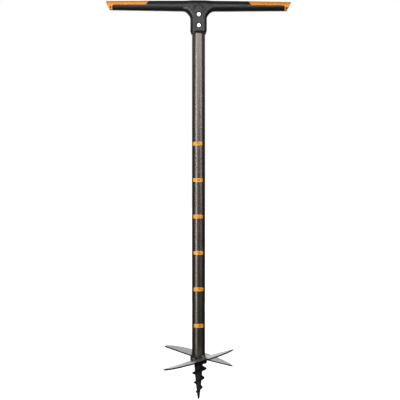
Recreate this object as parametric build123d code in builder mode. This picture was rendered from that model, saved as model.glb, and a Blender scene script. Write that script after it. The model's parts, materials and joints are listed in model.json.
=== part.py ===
from build123d import *
import os
from math import cos, radians, sin, tan

os.makedirs("parts", exist_ok=True)

# Post hole digger: a T-handled hand auger. Origin at the screw tip, +Z up the shaft, +X along the bar,
# -Y the front, where the depth marks are read. Millimetres.

# Overall sizes
overall_height = 1098.0  # screw tip to the top of the bar
handle_length = 512.0  # over the upper corners of the end pads, before they are rounded
cut_diameter = 200.0  # the hole that the blades cut

# Shaft tube
tube_diameter = 36.0
tube_wall = 2.0
tube_foot_z = 124.0

# Depth marks: labels round the front of the tube, one every step from first to last
mark_first = 200.0
mark_step = 100.0
mark_count = 6
mark_offset = 3.8  # from a depth up to the middle of its label
mark_height = 10.8
mark_arc = 95.0  # degrees of the tube that a label covers
mark_corner = 3.0
mark_thickness = 0.3
mark_turn_low = 1.0  # degrees from the front to a label's middle, at the lowest mark
mark_turn_step = -3.1  # how much further round the next label up was stuck

# Bar of the handle
bar_height_centre = 28.8
bar_height_end = 24.7
bar_depth_centre = 32.0
bar_depth_end = 28.0
bar_top_drop = 1.75  # how much lower the top is at the ends than in the middle
bar_edge_radius = 12.0
bar_end_round = 2.0
bar_end_slant = 25.5  # degrees, ends undercut so that the top is longer

# Boss: the socket below the bar
boss_length = 91.0  # from the top of the bar
boss_side_wall = 4.5  # from the tube to either side of the boss
boss_front_wall = 5.0  # from the tube to its front and its back
boss_web_radius = 22.0  # between the underside of the bar and the boss
boss_swell = 31.0  # length along the bar in which its depth grows to the boss's
boss_mouth_taper = 8.5
boss_mouth_inset = 2.4
socket_roof = 25.0  # solid material over the top of the tube
socket_clearance = 0.1  # on the radius

# Raised panels at the front and back of the boss
panel_width = 28.5
panel_rise = 1.5
panel_foot_rise = 3.5  # from the mouth of the socket
panel_top_drop = 13.5  # from the top of the bar
panel_bevel_width = 2.4
panel_bevel_depth = 0.9

# End pads
pad_length = 119.0
pad_lip_slant = 8.0  # how much further in a pad reaches at its top edge
pad_strip_height = 11.2
pad_block_length = 19.0  # from the upper outer corner to the black bar
pad_inner_corner = 5.5
hang_hole_diameter = 5.5
hang_hole_inset = 14.0  # from the upper outer corner, along the bar
hang_hole_drop = 20.0  # from the top of the bar

# Cross bolts of the handle, M6
handle_bolt_drops = {"upper": 40.5, "lower": 70.5}  # from the top of the bar
handle_bolt_diameter = 6.0
handle_bolt_flats = 9.0
handle_bolt_head = 4.0
handle_seat_wall = 3.0  # from the tube to either bearing face
handle_recess_diameter = 16.0
handle_washer_diameter = 12.0
handle_washer_thickness = 1.2
handle_nut_height = 5.0
handle_bolt_point = 0.5  # chamfer on the end of its thread
bolt_clearance = 0.2  # on the radius, in every hole that a bolt passes through
thread_clearance = 0.05  # on the radius, bolt to nut or tapped hole

# Plug in the top of the tube
plug_length = 62.0
plug_clearance = 0.1
plug_top_chamfer = 1.5

# Blades
blade_thickness = 4.0
blade_axis_z = 113.6  # where the plane of a blade's top face crosses the tube's axis
blade_pitch = 16.1  # degrees, rise along the cut
blade_lift = 3.2  # degrees, rise outwards
blade_leading_angle = 15.0  # degrees between the bar's direction and a blade's leading tip
blade_trailing_angle = 20.0  # and its trailing tip
blade_tip_round = 2.0
blade_root_angle = 28.0  # degrees between the bar's direction and a blade's root at the collar
blade_notch_clearance = 1.0  # on the radius, round the collar
blade_bevel_width = 4.0  # ground on the underside of the leading edge
blade_bevel_depth = 1.4
blade_reach_z = 80.0  # tall enough to hold the tilted plate

# Blade bolts, M8 button heads, placed in the plane of the blade
blade_bolt_x = 13.0
blade_bolt_gap = 2.0  # from the collar to a bolt's head
blade_bolt_diameter = 8.0
blade_bolt_head_diameter = 14.0
blade_bolt_head = 4.4
blade_bolt_head_round = 2.4
blade_bolt_socket_flats = 5.0
blade_bolt_socket_depth = 2.4
blade_washer_diameter = 13.0
blade_washer_thickness = 2.0
blade_washer_slit = 1.2

# Hub
hub_bottom_z = 99.0
hub_shoulder = 5.0  # how far the hub stands out from the tube
hub_block_height = 30.0
hub_ear_thickness = 6.0
hub_ear_margin = 8.0  # material round a bolt's axis
hub_ear_corner = 8.0
hub_spigot_length = 56.0
hub_spigot_clearance = 0.15
hub_bottom_chamfer = 0.5
hub_seat_overlap = 1.0  # how far each seat's cut runs past the middle

# Cross pin, a slotted spring pin through tube, spigot and shank
pin_diameter = 8.0
pin_wall = 1.5
pin_slit = 1.5
pin_height = 30.0  # above the foot of the tube
pin_hole_clearance = 0.05

# Screw point
point_tip_radius = 2.4
point_middle_radius = 8.3
point_top_radius = 12.1
point_tip_round = 1.6
shank_diameter = 16.0
shank_clearance = 0.1
shank_end_gap = 1.0
flight_pitch = 26.1
flight_phase_z = 84.5  # height at which the crest points along +X
flight_start_turns = -2.95  # turns from the phase height
flight_end_turns = 0.36
flight_fade_in = 0.45  # turns in which the crest rises out of the core
flight_fade_out = 0.33
flight_end_height = 0.06  # share of the full height left at either end, sunk in the core
flight_crest_low = 6.2  # crest radius at the start, if it didn't fade
flight_crest_slope = 0.205  # growth of the crest radius with height
flight_root_depth = 0.7  # share of the core's radius, where the flight is rooted
flight_root_width = 15.0
flight_root_growth = 0.06
flight_crest_land = 1.2
flight_crest_low_share = 0.42  # share of the root width that lies below the crest
flight_sections_per_turn = 12

# Places that follow from the sizes
tube_radius = tube_diameter / 2
tube_bore_radius = tube_radius - tube_wall
tube_top_z = overall_height - socket_roof
bar_end_z = overall_height - bar_top_drop
bar_half = handle_length / 2
boss_width = tube_diameter + 2 * boss_side_wall
boss_depth = tube_diameter + 2 * boss_front_wall
handle_bolt_seat = tube_radius + handle_seat_wall
blade_bolt_y = tube_radius + blade_bolt_gap + blade_bolt_head_diameter / 2
hub_diameter = tube_diameter + 2 * hub_shoulder
boss_bottom_z = overall_height - boss_length
bar_under_z = overall_height - bar_height_centre
bar_end_foot_x = bar_half - bar_height_end * tan(radians(bar_end_slant))
panel_face = boss_depth / 2 + panel_rise
pad_parting_z = bar_end_z - pad_strip_height
point_top_z = hub_bottom_z
shank_length = tube_foot_z + pin_height + pin_diameter - hub_bottom_z
pin_z = tube_foot_z + pin_height
handle_bolt_heights = {name: overall_height - drop for name, drop in handle_bolt_drops.items()}


def save(part, name):
    """Label a finished piece and write it as its own file."""
    part.label = name
    export_step(part, f"parts/{name}.step")


def round_axis(radius, angle):
    """Point at that radius, so many degrees from the bar's direction towards the front."""
    return (radius * cos(radians(angle)), -radius * sin(radians(angle)))


def blade_plane(side, below=0.0):
    """Plane of a blade's top face, or parallel and lower. Side 1 is the front, -1 the rear."""
    rise = tan(radians(blade_pitch))
    lift = tan(radians(blade_lift))
    top = Plane(
        origin=(0, 0, blade_axis_z), x_dir=(side, 0, rise), z_dir=(-side * rise, side * lift, 1)
    )
    return top.offset(-below)


# The plane that faces the back, with +Z up in it, as Plane.XZ faces the front
REAR = Plane(origin=(0, 0, 0), x_dir=(-1, 0, 0), z_dir=(0, 1, 0))

# ---------------------------------------------------------------- shaft

with BuildPart() as shaft_tube:
    with BuildSketch(Plane.XY.offset(tube_foot_z)):
        Circle(tube_radius)
        Circle(tube_bore_radius, mode=Mode.SUBTRACT)
    extrude(amount=tube_top_z - tube_foot_z)
    with BuildSketch(Plane.XZ):
        for bolt_z in handle_bolt_heights.values():
            with Locations((0, bolt_z)):
                Circle(handle_bolt_diameter / 2 + bolt_clearance)
    extrude(amount=tube_diameter, both=True, mode=Mode.SUBTRACT)
    with BuildSketch(Plane.YZ):
        with Locations((0, pin_z)):
            Circle(pin_diameter / 2 + pin_hole_clearance)
    extrude(amount=tube_diameter, both=True, mode=Mode.SUBTRACT)
save(shaft_tube.part, "shaft_tube")

with BuildPart() as tube_plug:
    with BuildSketch(Plane.XY.offset(tube_top_z)):
        Circle(tube_bore_radius - plug_clearance)
    extrude(amount=-plug_length)
    chamfer(tube_plug.edges().filter_by(GeomType.CIRCLE), plug_top_chamfer)
    with BuildSketch(Plane.XZ):
        for bolt_z in handle_bolt_heights.values():
            with Locations((0, bolt_z)):
                Circle(handle_bolt_diameter / 2 + bolt_clearance)
    extrude(amount=tube_diameter, both=True, mode=Mode.SUBTRACT)
save(tube_plug.part, "tube_plug")

for mark in range(mark_count):
    mark_z = mark_first + mark * mark_step
    mark_plane = Plane.XY.offset(mark_z + mark_offset - mark_height / 2).rotated(
        (0, 0, mark_turn_low + mark * mark_turn_step)
    )
    mark_width = 2 * (tube_radius + mark_thickness) * sin(radians(mark_arc / 2))
    with BuildPart() as depth_mark:
        with BuildSketch(mark_plane):
            Circle(tube_radius + mark_thickness)
            Circle(tube_radius, mode=Mode.SUBTRACT)
        extrude(amount=mark_height)
        with BuildSketch(Plane(mark_plane.origin, x_dir=mark_plane.x_dir, z_dir=-mark_plane.y_dir)):
            with Locations((0, mark_height / 2)):
                RectangleRounded(mark_width, mark_height, mark_corner)
        extrude(amount=tube_diameter, mode=Mode.INTERSECT)
    save(depth_mark.part, f"depth_mark_{round(mark_z / 10)}")

# ---------------------------------------------------------------- handle


def handle_blank():
    """The moulded outline of bar and boss in one, before the end pads are parted from it."""
    with BuildPart() as blank:
        with BuildSketch(Plane.XY.offset(boss_bottom_z)):
            with BuildLine():
                flat = Line((0, -boss_depth / 2), (panel_width / 2, -boss_depth / 2))
                swell_x = panel_width / 2 + boss_swell
                bar_slope = (bar_depth_centre - bar_depth_end) / 2 / (bar_half - swell_x)
                swell = Spline(
                    flat @ 1, (swell_x, -bar_depth_centre / 2), tangents=((1, 0), (1, bar_slope))
                )
                taper = Line(swell @ 1, (bar_half, -bar_depth_end / 2))
                Line(taper @ 1, (bar_half, 0))
                mirror(about=Plane.XZ)
                mirror(about=Plane.YZ)
            make_face()
        extrude(amount=boss_length + bar_top_drop)
        with BuildSketch(Plane.XZ):
            with BuildLine():
                ThreePointArc((-bar_half, bar_end_z), (0, overall_height), (bar_half, bar_end_z))
                end = Line((bar_half, bar_end_z), (bar_end_foot_x, bar_end_z - bar_height_end))
                under = FilletPolyline(
                    end @ 1,
                    (boss_width / 2, bar_under_z),
                    (boss_width / 2, boss_bottom_z),
                    radius=boss_web_radius,
                )
                foot = Line(under @ 1, (0, boss_bottom_z))
                mirror(end, about=Plane.YZ)
                mirror(under, about=Plane.YZ)
                mirror(foot, about=Plane.YZ)
            make_face()
        extrude(amount=boss_depth, both=True, mode=Mode.INTERSECT)
        across = blank.edges().filter_by(Axis.Y)
        at_mouth = blank.edges().group_by(Axis.Z)[0]
        ends = blank.faces().sort_by(Axis.X)
        at_ends = ends[0].edges() + ends[-1].edges()
        fillet(blank.edges() - across - at_mouth - at_ends, bar_edge_radius)
        ends = blank.faces().sort_by(Axis.X)
        fillet(ends[0].edges() + ends[-1].edges(), bar_end_round)
        mouth = blank.faces().sort_by(Axis.Z)[0]
        chamfer(mouth.edges(), boss_mouth_inset, boss_mouth_taper, reference=mouth)
    return blank.part


def pad_region(side):
    """Outline, in the front view, of the space that an end pad takes. Side 1 is the right."""
    inner_x = bar_half - pad_length
    block_x = bar_half - pad_block_length
    beyond = bar_half + pad_block_length
    below = bar_under_z - pad_block_length
    above = overall_height + pad_block_length
    lip_rise = pad_lip_slant * (above - pad_parting_z) / pad_strip_height
    with BuildSketch(Plane.XZ.offset(boss_depth), mode=Mode.PRIVATE) as region:
        with BuildLine():
            parting = FilletPolyline(
                (side * (inner_x + pad_lip_slant - lip_rise), above),
                (side * (inner_x + pad_lip_slant), pad_parting_z),
                (side * block_x, pad_parting_z),
                (side * block_x, below),
                radius=pad_inner_corner,
            )
            Polyline(parting @ 1, (side * beyond, below), (side * beyond, above), parting @ 0)
        make_face()
    return region.sketch


blank = handle_blank()

with BuildPart() as handle_body:
    add(blank)
    for side in (1, -1):
        extrude(pad_region(side), amount=2 * boss_depth, dir=(0, 1, 0), mode=Mode.SUBTRACT)
    for facing in (Plane.XZ, REAR):
        with BuildSketch(facing.offset(handle_bolt_seat)):
            panel_foot = boss_bottom_z + panel_foot_rise
            panel_round_z = overall_height - panel_top_drop - panel_width / 2
            with Locations((0, (panel_foot + panel_round_z) / 2)):
                Rectangle(panel_width, panel_round_z - panel_foot)
            with Locations((0, panel_round_z)):
                Circle(panel_width / 2)
        extrude(amount=panel_face - handle_bolt_seat)
    for along in (Axis.Y, -Axis.Y):
        panel = handle_body.faces().filter_by(Axis.Y).sort_by(along)[-1]
        chamfer(panel.edges(), panel_bevel_width, panel_bevel_depth, reference=panel)
    with BuildSketch(Plane.XY.offset(boss_bottom_z)):
        Circle(tube_radius + socket_clearance)
    extrude(amount=tube_top_z - boss_bottom_z, mode=Mode.SUBTRACT)
    for bolt_z in handle_bolt_heights.values():
        with BuildSketch(Plane.XZ):
            with Locations((0, bolt_z)):
                Circle(handle_bolt_diameter / 2 + bolt_clearance)
        extrude(amount=boss_depth, both=True, mode=Mode.SUBTRACT)
        for facing in (Plane.XZ, REAR):
            with BuildSketch(facing.offset(handle_bolt_seat)):
                with Locations((0, bolt_z)):
                    Circle(handle_recess_diameter / 2)
            extrude(amount=boss_depth, mode=Mode.SUBTRACT)
save(handle_body.part, "handle_body")

for name, side in (("end_pad_right", 1), ("end_pad_left", -1)):
    with BuildPart() as end_pad:
        add(blank)
        extrude(pad_region(side), amount=2 * boss_depth, dir=(0, 1, 0), mode=Mode.INTERSECT)
        with BuildSketch(Plane.XZ):
            with Locations((side * (bar_half - hang_hole_inset), overall_height - hang_hole_drop)):
                Circle(hang_hole_diameter / 2)
        extrude(amount=boss_depth, both=True, mode=Mode.SUBTRACT)
    save(end_pad.part, name)

for name, bolt_z in handle_bolt_heights.items():
    with BuildPart() as handle_bolt:
        with BuildSketch(Plane.XZ.offset(handle_bolt_seat)):
            with Locations((0, bolt_z)):
                RegularPolygon(handle_bolt_flats / 2, 6, major_radius=False, rotation=30)
        extrude(amount=handle_bolt_head)
        with BuildSketch(Plane.XZ.offset(handle_bolt_seat)):
            with Locations((0, bolt_z)):
                Circle(handle_bolt_diameter / 2)
        extrude(amount=-(2 * handle_bolt_seat + handle_washer_thickness + handle_nut_height))
        chamfer(handle_bolt.faces().sort_by(Axis.Y)[-1].edges(), handle_bolt_point)
    save(handle_bolt.part, f"handle_bolt_{name}")

    with BuildPart() as handle_washer:
        with BuildSketch(Plane.XZ.offset(-handle_bolt_seat)):
            with Locations((0, bolt_z)):
                Circle(handle_washer_diameter / 2)
                Circle(handle_bolt_diameter / 2 + bolt_clearance, mode=Mode.SUBTRACT)
        extrude(amount=-handle_washer_thickness)
    save(handle_washer.part, f"handle_washer_{name}")

    with BuildPart() as handle_nut:
        with BuildSketch(Plane.XZ.offset(-handle_bolt_seat - handle_washer_thickness)):
            with Locations((0, bolt_z)):
                RegularPolygon(handle_bolt_flats / 2, 6, major_radius=False, rotation=30)
                Circle(handle_bolt_diameter / 2 + thread_clearance, mode=Mode.SUBTRACT)
        extrude(amount=-handle_nut_height)
    save(handle_nut.part, f"handle_nut_{name}")

# ---------------------------------------------------------------- hub and blades

with BuildPart() as blade_hub:
    with BuildSketch(Plane.XY.offset(hub_bottom_z)):
        Circle(hub_diameter / 2)
    extrude(amount=hub_block_height)
    chamfer(blade_hub.edges().group_by(Axis.Z)[0], hub_bottom_chamfer)
    for side in (1, -1):
        seat = blade_plane(side, blade_thickness)
        ear_width = 2 * (blade_bolt_x + hub_ear_margin)
        ear_reach = blade_bolt_y + hub_ear_margin
        with BuildSketch(seat):
            with Locations((0, hub_seat_overlap)):
                Rectangle(cut_diameter, cut_diameter / 2, align=(Align.CENTER, Align.MAX))
        extrude(amount=hub_block_height, dir=(0, 0, 1), mode=Mode.SUBTRACT)
        with BuildSketch(seat):
            with Locations((0, -ear_reach / 2)):
                RectangleRounded(ear_width, ear_reach, hub_ear_corner)
        extrude(amount=-hub_ear_thickness)
    split(bisect_by=Plane.XY.offset(hub_bottom_z), keep=Keep.TOP)
    with BuildSketch(Plane.XY.offset(hub_bottom_z)):
        Circle(tube_radius)
    extrude(amount=tube_foot_z - hub_bottom_z)
    with BuildSketch(Plane.XY.offset(tube_foot_z)):
        Circle(tube_bore_radius - hub_spigot_clearance)
    extrude(amount=hub_spigot_length)
    for side in (1, -1):
        with BuildSketch(blade_plane(side, blade_thickness)):
            with Locations((blade_bolt_x, -blade_bolt_y), (-blade_bolt_x, -blade_bolt_y)):
                Circle(blade_bolt_diameter / 2 + thread_clearance)
        extrude(amount=-hub_block_height, mode=Mode.SUBTRACT)
    with BuildSketch(Plane.XY.offset(hub_bottom_z)):
        Circle(shank_diameter / 2 + shank_clearance)
    extrude(amount=shank_length + shank_end_gap, mode=Mode.SUBTRACT)
    with BuildSketch(Plane.YZ):
        with Locations((0, pin_z)):
            Circle(pin_diameter / 2 + pin_hole_clearance)
    extrude(amount=tube_diameter, both=True, mode=Mode.SUBTRACT)
save(blade_hub.part, "blade_hub")

with BuildPart() as cross_pin:
    with BuildSketch(Plane.YZ.offset(-tube_radius)):
        with Locations((0, pin_z)):
            Circle(pin_diameter / 2)
            Circle(pin_diameter / 2 - pin_wall, mode=Mode.SUBTRACT)
        with Locations((0, pin_z - pin_diameter / 2)):
            Rectangle(pin_slit, pin_diameter, mode=Mode.SUBTRACT)
    extrude(amount=tube_diameter)
save(cross_pin.part, "cross_pin")

for name, side in (("front", 1), ("rear", -1)):
    top = blade_plane(side)
    radius = cut_diameter / 2
    notch = tube_radius + blade_notch_clearance
    with BuildPart() as blade:
        with BuildSketch(Plane.XY.offset(blade_reach_z / 2)):
            with BuildLine():
                trailing = round_axis(side * radius, blade_trailing_angle)
                leading = round_axis(side * radius, 180 - blade_leading_angle)
                trailing_root = round_axis(side * notch, blade_root_angle)
                leading_root = round_axis(side * notch, 180 - blade_root_angle)
                ThreePointArc(trailing, (0, -side * radius), leading)
                Line(leading, leading_root)
                ThreePointArc(leading_root, (0, -side * notch), trailing_root)
                Line(trailing_root, trailing)
            make_face()
            fillet(vertices().group_by(SortBy.DISTANCE)[-1], blade_tip_round)
        extrude(amount=2 * blade_reach_z)
        with BuildSketch(top):
            Rectangle(2 * cut_diameter, 2 * cut_diameter)
        extrude(amount=-blade_thickness, mode=Mode.INTERSECT)
        with BuildSketch(top):
            with Locations((blade_bolt_x, -blade_bolt_y), (-blade_bolt_x, -blade_bolt_y)):
                Circle(blade_bolt_diameter / 2 + bolt_clearance)
        extrude(amount=-blade_thickness, mode=Mode.SUBTRACT)
        top_face = blade.faces().sort_by(Axis(top.origin, top.z_dir))[-1]
        straight = top_face.edges().filter_by(GeomType.LINE)
        cutting_edge = straight.sort_by(Axis((0, 0, 0), (side, 0, 0)))[0]
        outward = cutting_edge.tangent_at(0.5)
        if outward.dot(cutting_edge.center()) < 0:
            outward = -outward
        inward = top.z_dir.cross(outward)
        with BuildSketch(Plane(cutting_edge.center(), x_dir=inward, z_dir=outward)):
            with BuildLine():
                Polyline(
                    (-blade_bevel_width, 2 * blade_bevel_depth - blade_thickness),
                    (blade_bevel_width, -blade_thickness),
                    (blade_bevel_width, -blade_thickness - blade_bevel_depth),
                    (-blade_bevel_width, -blade_thickness - blade_bevel_depth),
                    close=True,
                )
            make_face()
        extrude(amount=cut_diameter, both=True, mode=Mode.SUBTRACT)
    save(blade.part, f"blade_{name}")

    for place, bolt_x in (("left", -side * blade_bolt_x), ("right", side * blade_bolt_x)):
        head_plane = top.offset(blade_washer_thickness)
        bolt_length = blade_washer_thickness + blade_thickness + hub_ear_thickness
        with BuildPart() as blade_washer:
            with BuildSketch(top):
                with Locations((bolt_x, -blade_bolt_y)):
                    Circle(blade_washer_diameter / 2)
                    Circle(blade_bolt_diameter / 2 + bolt_clearance, mode=Mode.SUBTRACT)
                with Locations((bolt_x, -blade_bolt_y - blade_washer_diameter / 2)):
                    Rectangle(blade_washer_slit, blade_washer_diameter, mode=Mode.SUBTRACT)
            extrude(amount=blade_washer_thickness)
        save(blade_washer.part, f"blade_washer_{name}_{place}")

        with BuildPart() as blade_bolt:
            with BuildSketch(head_plane):
                with Locations((bolt_x, -blade_bolt_y)):
                    Circle(blade_bolt_head_diameter / 2)
            extrude(amount=blade_bolt_head)
            head_top = blade_bolt.faces().sort_by(Axis(head_plane.origin, head_plane.z_dir))[-1]
            fillet(head_top.edges(), blade_bolt_head_round)
            with BuildSketch(head_plane.offset(blade_bolt_head)):
                with Locations((bolt_x, -blade_bolt_y)):
                    RegularPolygon(blade_bolt_socket_flats / 2, 6, major_radius=False)
            extrude(amount=-blade_bolt_socket_depth, mode=Mode.SUBTRACT)
            with BuildSketch(head_plane):
                with Locations((bolt_x, -blade_bolt_y)):
                    Circle(blade_bolt_diameter / 2)
            extrude(amount=-bolt_length)
        save(blade_bolt.part, f"blade_bolt_{name}_{place}")

# ---------------------------------------------------------------- screw point


def flight_section(turns):
    """Sketch of the flight's section, in a plane through the axis, so many turns from the phase height."""
    angle = 360 * turns
    height = flight_phase_z + flight_pitch * turns
    risen = min(1.0, (turns - flight_start_turns) / flight_fade_in)
    falling = min(1.0, (flight_end_turns - turns) / flight_fade_out)
    core = point_tip_radius + (point_top_radius - point_tip_radius) * height / point_top_z
    start_z = flight_phase_z + flight_pitch * flight_start_turns
    full_crest = flight_crest_low + flight_crest_slope * (height - start_z)
    root = flight_root_depth * core
    crest = root + (full_crest - root) * max(flight_end_height, min(risen, falling))
    width = (flight_root_width + flight_root_growth * (height - point_top_z)) * (crest - root)
    width = width / (full_crest - root)
    radial = (cos(radians(angle)), sin(radians(angle)), 0)
    across = (sin(radians(angle)), -cos(radians(angle)), 0)
    section_plane = Plane((0, 0, height), x_dir=radial, z_dir=across)
    with BuildSketch(section_plane, mode=Mode.PRIVATE) as section:
        with BuildLine():
            Polyline(
                (root, -flight_crest_low_share * width),
                (crest, -flight_crest_land / 2),
                (crest, flight_crest_land / 2),
                (root, (1 - flight_crest_low_share) * width),
                close=True,
            )
        make_face()
    return section.sketch


with BuildPart() as point_screw:
    with BuildSketch(Plane.XZ):
        with BuildLine():
            side_arc = ThreePointArc(
                (point_tip_radius, point_tip_round),
                (point_middle_radius, point_top_z / 2),
                (point_top_radius, point_top_z),
            )
            Polyline(
                side_arc @ 1,
                (shank_diameter / 2, point_top_z),
                (shank_diameter / 2, point_top_z + shank_length),
                (0, point_top_z + shank_length),
                (0, 0),
            )
            Spline((0, 0), side_arc @ 0, tangents=((1, 0), (0, 1)))
        make_face()
    revolve(axis=Axis.Z)
    section_count = round((flight_end_turns - flight_start_turns) * flight_sections_per_turn)
    sections = []
    for station in range(section_count + 1):
        share = station / section_count
        sections.append(
            flight_section(flight_start_turns + (flight_end_turns - flight_start_turns) * share).face()
        )
    loft(sections)
    with BuildSketch(Plane.YZ):
        with Locations((0, pin_z)):
            Circle(pin_diameter / 2 + pin_hole_clearance)
    extrude(amount=tube_diameter, both=True, mode=Mode.SUBTRACT)
save(point_screw.part, "point_screw")
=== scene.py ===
import json
import math

import bmesh
import bpy
from mathutils import Matrix, Vector


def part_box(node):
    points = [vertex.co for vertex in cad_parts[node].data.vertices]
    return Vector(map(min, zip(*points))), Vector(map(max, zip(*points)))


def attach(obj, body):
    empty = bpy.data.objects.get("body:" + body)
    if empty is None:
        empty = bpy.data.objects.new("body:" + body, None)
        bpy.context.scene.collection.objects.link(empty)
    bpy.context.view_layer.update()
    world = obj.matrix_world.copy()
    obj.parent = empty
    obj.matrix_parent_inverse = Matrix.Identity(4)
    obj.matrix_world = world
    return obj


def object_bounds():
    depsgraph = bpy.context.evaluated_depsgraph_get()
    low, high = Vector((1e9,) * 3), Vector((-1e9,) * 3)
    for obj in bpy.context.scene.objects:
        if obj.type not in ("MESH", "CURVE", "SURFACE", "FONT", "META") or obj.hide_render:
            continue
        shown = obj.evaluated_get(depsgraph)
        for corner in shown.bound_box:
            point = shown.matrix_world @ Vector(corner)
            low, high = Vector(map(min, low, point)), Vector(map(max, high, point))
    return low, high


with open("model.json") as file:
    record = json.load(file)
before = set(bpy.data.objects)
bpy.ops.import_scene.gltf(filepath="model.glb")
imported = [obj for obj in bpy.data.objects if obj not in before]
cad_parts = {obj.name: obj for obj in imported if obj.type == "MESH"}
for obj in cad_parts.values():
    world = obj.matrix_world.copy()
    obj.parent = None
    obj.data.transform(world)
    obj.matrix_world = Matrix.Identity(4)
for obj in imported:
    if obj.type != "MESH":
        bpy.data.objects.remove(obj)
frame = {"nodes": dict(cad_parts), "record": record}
cad_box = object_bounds()
nodes = frame["nodes"]
MM = 0.001
FACTOR, FIRST, SECOND, BLEND = 0, 6, 7, 2  # sockets of a mix node that blends colours

# ---------------------------------------------------------------- small helpers


def linear(code, alpha=1.0):
    """Linear RGBA of an sRGB hex colour."""
    channels = [int(code[i : i + 2], 16) / 255 for i in (1, 3, 5)]
    return [c / 12.92 if c <= 0.04045 else ((c + 0.055) / 1.055) ** 2.4 for c in channels] + [alpha]


def add(tree, kind, inputs=None, **settings):
    """Add one node with its settings, then give each named input its value or its link."""
    made = tree.nodes.new(kind)
    for name, value in settings.items():
        setattr(made, name, value)
    for name, value in (inputs or {}).items():
        if isinstance(value, bpy.types.NodeSocket):
            tree.links.new(value, made.inputs[name])
        else:
            made.inputs[name].default_value = value
    return made


def start_material(name):
    """An empty node material, its tree and its object coordinates, which are metres in the part's frame."""
    material = bpy.data.materials.new(name)
    material.use_nodes = True
    tree = material.node_tree
    tree.nodes.clear()
    place = add(tree, "ShaderNodeTexCoord").outputs["Object"]
    return material, tree, place


def finish_material(material, tree, shader_inputs):
    """Join a Principled shader with these inputs to the output."""
    shader = add(tree, "ShaderNodeBsdfPrincipled", shader_inputs)
    add(tree, "ShaderNodeOutputMaterial", {"Surface": shader.outputs["BSDF"]})
    return material


def per_metre(size_mm):
    """Noise scale whose features are about this many millimetres across."""
    return 1 / (size_mm * MM)


# ---------------------------------------------------------------- materials


# Ends of the painted shading on the tube: darker at the foot, paler under the handle
SHADE_FOOT, SHADE_HEAD = 0.12, 1.01  # metres up the shaft, between the blades and the handle


def graphite_paint():
    """Metallic graphite stove enamel on drawn steel tube: a soft sheen with fine flake and faint draw lines,
    with painted shading that makes it a little paler under the handle and darker towards the foot."""
    material, tree, place = start_material("graphite_paint")
    height = add(tree, "ShaderNodeSeparateXYZ", {"Vector": place}).outputs["Z"]
    share = add(
        tree, "ShaderNodeMapRange",
        {"Value": height, "From Min": SHADE_FOOT, "From Max": SHADE_HEAD, "To Min": 0.0, "To Max": 1.0},
    )
    # Painted shading: the tube's colour grows paler with height, standing in for the light falling brighter
    # on its upper part
    painted_shade_ramp = add(tree, "ShaderNodeValToRGB", {"Fac": share.outputs["Result"]})
    shade_stops = ((0.0, "#4d4842"), (0.35, "#56514b"), (0.62, "#5a554f"), (1.0, "#716a63"))
    ramp = painted_shade_ramp.color_ramp
    ramp.elements[0].color = linear(shade_stops[0][1])
    ramp.elements[1].color = linear(shade_stops[-1][1])
    for at, code in shade_stops[1:-1]:
        ramp.elements.new(at).color = linear(code)
    # Flake of 0.1 mm, drawn 1.2 mm across so that it shows
    flake = add(tree, "ShaderNodeTexNoise", {"Vector": place, "Scale": per_metre(1.2), "Detail": 2.0})
    # Draw lines of 0.2 mm, drawn 1 mm apart so that they show
    drawn = add(tree, "ShaderNodeMapping", {"Vector": place, "Scale": (1.0, 1.0, 0.02)})
    lines = add(
        tree, "ShaderNodeTexNoise",
        {"Vector": drawn.outputs["Vector"], "Scale": per_metre(1.0), "Detail": 3.0},
    )
    fleck = add(
        tree, "ShaderNodeMapRange",
        {"Value": flake.outputs["Fac"], "From Min": 0.3, "From Max": 0.7, "To Min": 0.93, "To Max": 1.06},
    )
    streak = add(
        tree, "ShaderNodeMapRange",
        {"Value": lines.outputs["Fac"], "From Min": 0.3, "From Max": 0.7, "To Min": 0.93, "To Max": 1.06},
    )
    both = add(tree, "ShaderNodeMath", {0: fleck.outputs["Result"], 1: streak.outputs["Result"]},
               operation="MULTIPLY")
    colour = add(tree, "ShaderNodeVectorMath", {0: painted_shade_ramp.outputs["Color"], "Scale": both.outputs["Value"]},
                 operation="SCALE")
    rough = add(
        tree, "ShaderNodeMapRange",
        {"Value": lines.outputs["Fac"], "From Min": 0.2, "From Max": 0.8, "To Min": 0.33, "To Max": 0.40},
    )
    bump = add(
        tree, "ShaderNodeBump", {"Height": lines.outputs["Fac"], "Strength": 0.03, "Distance": 0.05 * MM}
    )
    return finish_material(material, tree, {
        "Base Color": colour.outputs["Vector"],
        "Metallic": 0.9,
        "Roughness": rough.outputs["Result"],
        "Normal": bump.outputs["Normal"],
    })


def printed_vinyl():
    """Printed orange vinyl label: a smooth satin film with a slightly uneven ink."""
    material, tree, place = start_material("printed_vinyl")
    cloud = add(tree, "ShaderNodeTexNoise", {"Vector": place, "Scale": per_metre(4.0), "Detail": 3.0})
    colour = add(
        tree, "ShaderNodeMix",
        {FACTOR: cloud.outputs["Fac"], FIRST: linear("#e5951c"), SECOND: linear("#f0a52c")},
        data_type="RGBA",
    ).outputs[BLEND]
    rough = add(
        tree, "ShaderNodeMapRange",
        {"Value": cloud.outputs["Fac"], "From Min": 0.3, "From Max": 0.7, "To Min": 0.34, "To Max": 0.46},
    )
    return finish_material(material, tree, {
        "Base Color": colour, "Roughness": rough.outputs["Result"], "IOR": 1.5,
    })


def printed_ink():
    """Dark brown screen ink of the depth figures."""
    material, tree, place = start_material("printed_ink")
    cloud = add(tree, "ShaderNodeTexNoise", {"Vector": place, "Scale": per_metre(0.8), "Detail": 2.0})
    colour = add(
        tree, "ShaderNodeMix",
        {FACTOR: cloud.outputs["Fac"], FIRST: linear("#1c1004"), SECOND: linear("#2a1a08")},
        data_type="RGBA",
    ).outputs[BLEND]
    return finish_material(material, tree, {"Base Color": colour, "Roughness": 0.5, "IOR": 1.5})


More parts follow.
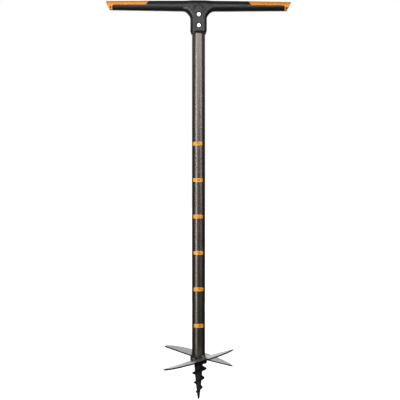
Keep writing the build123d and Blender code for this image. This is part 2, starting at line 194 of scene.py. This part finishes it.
def moulded_nylon():
    """Glass-filled black nylon, injection moulded in a spark-eroded tool: a fine even grain that breaks the
    light into a soft grey sheen on the upper faces."""
    material, tree, place = start_material("moulded_nylon")
    # Grain of 0.4 mm, drawn 0.9 mm across so that it shows
    grain = add(
        tree, "ShaderNodeTexVoronoi", {"Vector": place, "Scale": per_metre(0.9), "Randomness": 1.0},
        feature="SMOOTH_F1",
    )
    cloud = add(tree, "ShaderNodeTexNoise", {"Vector": place, "Scale": per_metre(30), "Detail": 4.0})
    colour = add(
        tree, "ShaderNodeMix",
        {FACTOR: cloud.outputs["Fac"], FIRST: linear("#0e0d0e"), SECOND: linear("#161516")},
        data_type="RGBA",
    ).outputs[BLEND]
    rough = add(
        tree, "ShaderNodeMapRange",
        {"Value": cloud.outputs["Fac"], "From Min": 0.3, "From Max": 0.7, "To Min": 0.34, "To Max": 0.46},
    )
    bump = add(
        tree, "ShaderNodeBump", {"Height": grain.outputs["Distance"], "Strength": 0.35, "Distance": 0.12 * MM}
    )
    return finish_material(material, tree, {
        "Base Color": colour, "Roughness": rough.outputs["Result"], "IOR": 1.53,
        "Normal": bump.outputs["Normal"],
    })


def soft_grip():
    """Orange thermoplastic elastomer, overmoulded: matt, with a faint sheen and a fine pebbled skin."""
    material, tree, place = start_material("soft_grip")
    grain = add(
        tree, "ShaderNodeTexVoronoi", {"Vector": place, "Scale": per_metre(1.1), "Randomness": 1.0},
        feature="SMOOTH_F1",
    )
    cloud = add(tree, "ShaderNodeTexNoise", {"Vector": place, "Scale": per_metre(25), "Detail": 4.0})
    colour = add(
        tree, "ShaderNodeMix",
        {FACTOR: cloud.outputs["Fac"], FIRST: linear("#ea8d18"), SECOND: linear("#f39a22")},
        data_type="RGBA",
    ).outputs[BLEND]
    bump = add(
        tree, "ShaderNodeBump", {"Height": grain.outputs["Distance"], "Strength": 0.25, "Distance": 0.1 * MM}
    )
    return finish_material(material, tree, {
        "Base Color": colour, "Roughness": 0.55, "IOR": 1.5, "Sheen Weight": 0.08,
        "Sheen Roughness": 0.4, "Normal": bump.outputs["Normal"],
    })


def zinc_plate():
    """Bright zinc plate on machined steel: near white and a little cloudy."""
    material, tree, place = start_material("zinc_plate")
    cloud = add(tree, "ShaderNodeTexNoise", {"Vector": place, "Scale": per_metre(2.5), "Detail": 4.0})
    colour = add(
        tree, "ShaderNodeMix",
        {FACTOR: cloud.outputs["Fac"], FIRST: linear("#e6e6e4"), SECOND: linear("#fbfbf8")},
        data_type="RGBA",
    ).outputs[BLEND]
    rough = add(
        tree, "ShaderNodeMapRange",
        {"Value": cloud.outputs["Fac"], "From Min": 0.3, "From Max": 0.7, "To Min": 0.22, "To Max": 0.4},
    )
    return finish_material(material, tree, {
        "Base Color": colour, "Metallic": 1.0, "Roughness": rough.outputs["Result"],
    })


def black_oxide():
    """Black oxide on steel fasteners: dark brownish grey, uneven, with an oily sheen."""
    material, tree, place = start_material("black_oxide")
    cloud = add(tree, "ShaderNodeTexNoise", {"Vector": place, "Scale": per_metre(3), "Detail": 5.0})
    colour = add(
        tree, "ShaderNodeMix",
        {FACTOR: cloud.outputs["Fac"], FIRST: linear("#45413d"), SECOND: linear("#6a655f")},
        data_type="RGBA",
    ).outputs[BLEND]
    rough = add(
        tree, "ShaderNodeMapRange",
        {"Value": cloud.outputs["Fac"], "From Min": 0.3, "From Max": 0.7, "To Min": 0.28, "To Max": 0.42},
    )
    return finish_material(material, tree, {
        "Base Color": colour, "Metallic": 0.9, "Roughness": rough.outputs["Result"],
    })


def painted_casting():
    """Black enamel over a sand casting: pebbled by the sand, thin and greyer on its high spots."""
    material, tree, place = start_material("painted_casting")
    sand = add(tree, "ShaderNodeTexNoise", {"Vector": place, "Scale": per_metre(1.6), "Detail": 6.0})
    lumps = add(tree, "ShaderNodeTexNoise", {"Vector": place, "Scale": per_metre(9), "Detail": 3.0})
    colour = add(
        tree, "ShaderNodeMix",
        {FACTOR: sand.outputs["Fac"], FIRST: linear("#0f0d0b"), SECOND: linear("#2b2722")},
        data_type="RGBA",
    ).outputs[BLEND]
    rough = add(
        tree, "ShaderNodeMapRange",
        {"Value": lumps.outputs["Fac"], "From Min": 0.3, "From Max": 0.7, "To Min": 0.45, "To Max": 0.68},
    )
    coarse = add(
        tree, "ShaderNodeBump", {"Height": lumps.outputs["Fac"], "Strength": 0.5, "Distance": 0.8 * MM}
    )
    bump = add(tree, "ShaderNodeBump", {
        "Height": sand.outputs["Fac"], "Strength": 0.6, "Distance": 0.35 * MM,
        "Normal": coarse.outputs["Normal"],
    })
    return finish_material(material, tree, {
        "Base Color": colour, "Roughness": rough.outputs["Result"], "IOR": 1.5,
        "Normal": bump.outputs["Normal"],
    })


def ground_steel():
    """Hardened steel plate with a linished face: satin grey with fine grinding lines along the blade, and a
    dark laser-cut edge."""
    material, tree, place = start_material("ground_steel")
    # Grinding lines of 0.1 mm, drawn 0.7 mm apart so that they show
    along = add(tree, "ShaderNodeMapping", {"Vector": place, "Scale": (0.03, 1.0, 0.2)})
    lines = add(
        tree, "ShaderNodeTexNoise",
        {"Vector": along.outputs["Vector"], "Scale": per_metre(0.7), "Detail": 4.0, "Roughness": 0.6},
    )
    cloud = add(tree, "ShaderNodeTexNoise", {"Vector": place, "Scale": per_metre(35), "Detail": 4.0})
    shade = add(
        tree, "ShaderNodeMix",
        {FACTOR: lines.outputs["Fac"], FIRST: linear("#8d8a88"), SECOND: linear("#c9c6c3")},
        data_type="RGBA",
    ).outputs[BLEND]
    worn = add(
        tree, "ShaderNodeMapRange",
        {"Value": cloud.outputs["Fac"], "From Min": 0.35, "From Max": 0.75, "To Min": 0.0, "To Max": 0.35},
    )
    face = add(
        tree, "ShaderNodeMix",
        {FACTOR: worn.outputs["Result"], FIRST: shade, SECOND: linear("#8b8581")},
        data_type="RGBA",
    ).outputs[BLEND]
    # The edge is where the surface stands more upright than lying
    upright = add(
        tree, "ShaderNodeSeparateXYZ", {"Vector": add(tree, "ShaderNodeNewGeometry").outputs["True Normal"]}
    )
    lying = add(tree, "ShaderNodeMath", {0: upright.outputs["Z"]}, operation="ABSOLUTE")
    edge = add(
        tree, "ShaderNodeMapRange",
        {"Value": lying.outputs["Value"], "From Min": 0.5, "From Max": 0.3, "To Min": 0.0, "To Max": 1.0},
    )
    colour = add(
        tree, "ShaderNodeMix",
        {FACTOR: edge.outputs["Result"], FIRST: face, SECOND: linear("#24201f")},
        data_type="RGBA",
    ).outputs[BLEND]
    rough = add(
        tree, "ShaderNodeMapRange",
        {"Value": lines.outputs["Fac"], "From Min": 0.3, "From Max": 0.7, "To Min": 0.24, "To Max": 0.36},
    )
    bump = add(
        tree, "ShaderNodeBump", {"Height": lines.outputs["Fac"], "Strength": 0.15, "Distance": 0.08 * MM}
    )
    return finish_material(material, tree, {
        "Base Color": colour, "Metallic": 0.95, "Roughness": rough.outputs["Result"],
        "Normal": bump.outputs["Normal"],
    })


def studio_floor():
    """Matt white backlit acrylic floor: it glows evenly, so that only a faint shadow is left on it."""
    material, tree, place = start_material("studio_acrylic")
    cloud = add(tree, "ShaderNodeTexNoise", {"Vector": place, "Scale": 1.5, "Detail": 2.0})
    colour = add(
        tree, "ShaderNodeMix",
        {FACTOR: cloud.outputs["Fac"], FIRST: linear("#f4f4f4"), SECOND: linear("#f9f9f9")},
        data_type="RGBA",
    ).outputs[BLEND]
    return finish_material(material, tree, {
        "Base Color": colour, "Roughness": 0.9, "IOR": 1.3,
        "Emission Color": (1.0, 1.0, 1.0, 1.0), "Emission Strength": 1.0,
    })


# ---------------------------------------------------------------- finish of every CAD node

finishes = {
    "graphite_paint": graphite_paint(),
    "orange_label": printed_vinyl(),
    "black_nylon": moulded_nylon(),
    "orange_grip": soft_grip(),
    "zinc_steel": zinc_plate(),
    "black_steel": black_oxide(),
    "black_casting": painted_casting(),
    "blade_steel": ground_steel(),
}
for subpart in frame["record"]["subparts"]:
    mesh = nodes[subpart["node"]].data
    mesh.materials.clear()
    mesh.materials.append(finishes[subpart["material_slot"]])

# ---------------------------------------------------------------- depth figures

ink = printed_ink()
tube_low, tube_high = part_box("shaft_tube")
tube_radius = (tube_high[0] - tube_low[0]) / 2
FIGURE_HEIGHT = 5.5 * MM
FIGURE_RISE = 0.12 * MM  # thickness of the print, whose middle stands as far off its label
FIGURE_OFFSET = 2.2 * MM  # to the right of the label's middle
FIGURE_PER_FONT = 0.7  # height of a figure for a font size of 1
LABEL_THICKNESS = 0.3 * MM
BEND_STEP = 0.5 * MM  # between the cuts that let the flat figures bend
BEND_REACH = 8  # cuts on each side of the middle one


def wrapped_figures(text, label):
    """Figures as thin raised print, laid round the tube on their label."""
    low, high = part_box(label)
    middle_angle = math.atan2((low[1] + high[1]) / 2, (low[0] + high[0]) / 2)
    label_radius = tube_radius + LABEL_THICKNESS
    font = bpy.data.curves.new(f"figures_{text}", "FONT")
    font.body = text
    font.size = FIGURE_HEIGHT / FIGURE_PER_FONT
    font.align_x = "CENTER"
    font.align_y = "CENTER"
    flat = bpy.data.objects.new(f"flat_{text}", font)
    bpy.context.scene.collection.objects.link(flat)
    bpy.context.view_layer.update()
    graph = bpy.context.evaluated_depsgraph_get()
    mesh = bpy.data.meshes.new_from_object(flat.evaluated_get(graph))
    bpy.data.objects.remove(flat)
    build = bmesh.new()
    build.from_mesh(mesh)
    for cut in range(-BEND_REACH, BEND_REACH + 1):
        bmesh.ops.bisect_plane(
            build, geom=build.verts[:] + build.edges[:] + build.faces[:],
            plane_co=(cut * BEND_STEP, 0, 0), plane_no=(1, 0, 0),
        )
    for vertex in build.verts:
        angle = middle_angle + (vertex.co.x + FIGURE_OFFSET) / label_radius
        reach = label_radius + FIGURE_RISE
        height = (low[2] + high[2]) / 2 + vertex.co.y
        vertex.co = (reach * math.cos(angle), reach * math.sin(angle), height)
    build.to_mesh(mesh)
    build.free()
    mesh.name = f"depth_figures_{text}"
    mesh.materials.clear()
    mesh.materials.append(ink)
    piece = bpy.data.objects.new(f"depth_figures_{text}", mesh)
    bpy.context.scene.collection.objects.link(piece)
    backing = piece.modifiers.new("backing", "SOLIDIFY")
    backing.thickness = FIGURE_RISE
    backing.offset = 0
    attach(piece, "root")


for depth in range(20, 80, 10):
    wrapped_figures(str(depth), f"depth_mark_{depth}")

# ---------------------------------------------------------------- floor, lights and camera

FLOOR_RADIUS = 80.0  # far enough for its edge to be lost in the white behind it
floor_mesh = bpy.data.meshes.new("studio_floor")
floor_build = bmesh.new()
bmesh.ops.create_circle(floor_build, cap_ends=True, segments=96, radius=FLOOR_RADIUS)
floor_build.to_mesh(floor_mesh)
floor_build.free()
floor_mesh.materials.append(studio_floor())
floor = bpy.data.objects.new("studio_floor", floor_mesh)
floor.location.z = cad_box[0][2]
bpy.context.scene.collection.objects.link(floor)
floor.visible_glossy = False
floor.visible_diffuse = False

world = bpy.data.worlds.new("studio")
bpy.context.scene.world = world
world.use_nodes = True
world.node_tree.nodes.clear()
rays = add(world.node_tree, "ShaderNodeLightPath")
seen = add(world.node_tree, "ShaderNodeBackground", {"Color": (1.0, 1.0, 1.0, 1.0), "Strength": 1.0})
felt = add(world.node_tree, "ShaderNodeBackground", {"Color": (1.0, 1.0, 1.0, 1.0), "Strength": 0.05})
chosen = add(
    world.node_tree, "ShaderNodeMixShader",
    {0: rays.outputs["Is Camera Ray"], 1: felt.outputs["Background"], 2: seen.outputs["Background"]},
)
add(world.node_tree, "ShaderNodeOutputWorld", {"Surface": chosen.outputs["Shader"]})

MIDDLE_HEIGHT = (cad_box[0][2] + cad_box[1][2]) / 2


def softbox(name, azimuth, distance, height, size, watts, aim_height):
    """A rectangular softbox that faces a point on the shaft. Azimuth is in degrees round the shaft from the
    front, and positive to the right as the camera sees it."""
    light = bpy.data.lights.new(name, "AREA")
    light.shape = "RECTANGLE"
    light.size, light.size_y = size
    light.energy = watts
    lamp = bpy.data.objects.new(name, light)
    turn = math.radians(azimuth)
    lamp.location = (distance * math.sin(turn), -distance * math.cos(turn), height)
    facing = Vector((0, 0, aim_height)) - lamp.location
    lamp.rotation_euler = facing.to_track_quat("-Z", "Y").to_euler()
    lamp.visible_camera = False
    bpy.context.scene.collection.objects.link(lamp)


# Name, azimuth, distance, height, (width, height) of the panel, watts, height of the point it faces
SOFTBOXES = (
    ("left_softbox", -42, 1.3, 0.58, (0.22, 1.25), 15, 0.58),
    ("right_softbox", 44, 2.4, 1.0, (0.6, 1.0), 14, 0.9),
    ("front_softbox", 2, 2.5, 1.45, (3.0, 0.45), 27, 1.0),
    ("back_softbox", 180, 2.6, 0.45, (1.3, 0.9), 4.5, 0.15),
    ("left_rim_softbox", -125, 2.4, 1.6, (0.8, 1.0), 3, MIDDLE_HEIGHT),
    ("right_rim_softbox", 125, 2.4, 1.6, (0.8, 1.0), 3, MIDDLE_HEIGHT),
)
for panel in SOFTBOXES:
    softbox(*panel)

overhead = bpy.data.lights.new("overhead", "SUN")
overhead.energy = 0.25
overhead.angle = math.radians(70)
overhead_lamp = bpy.data.objects.new("overhead", overhead)
overhead_lamp.rotation_euler = (math.radians(12), math.radians(-8), 0)
bpy.context.scene.collection.objects.link(overhead_lamp)

CAMERA_DISTANCE = 2.8
CAMERA_HEIGHT = 0.549
CAMERA_SIDE = 0.004  # to the right of the shaft's axis
CAMERA_TURN = math.radians(-1.6)  # round the shaft, to the left of the front
FRAME_WIDTH = 1.104  # metres across the frame, at the tube's axis
camera_data = bpy.data.cameras.new("camera")
camera_data.sensor_width = 36.0
camera_data.lens = camera_data.sensor_width * CAMERA_DISTANCE / FRAME_WIDTH
camera = bpy.data.objects.new("camera", camera_data)
camera_place = Vector((CAMERA_SIDE, -CAMERA_DISTANCE, CAMERA_HEIGHT))
camera.location = Matrix.Rotation(CAMERA_TURN, 3, "Z") @ camera_place
camera.rotation_euler = (math.radians(90), 0, CAMERA_TURN)
bpy.context.scene.collection.objects.link(camera)
bpy.context.scene.camera = camera
bpy.context.scene.view_settings.view_transform = "Standard"
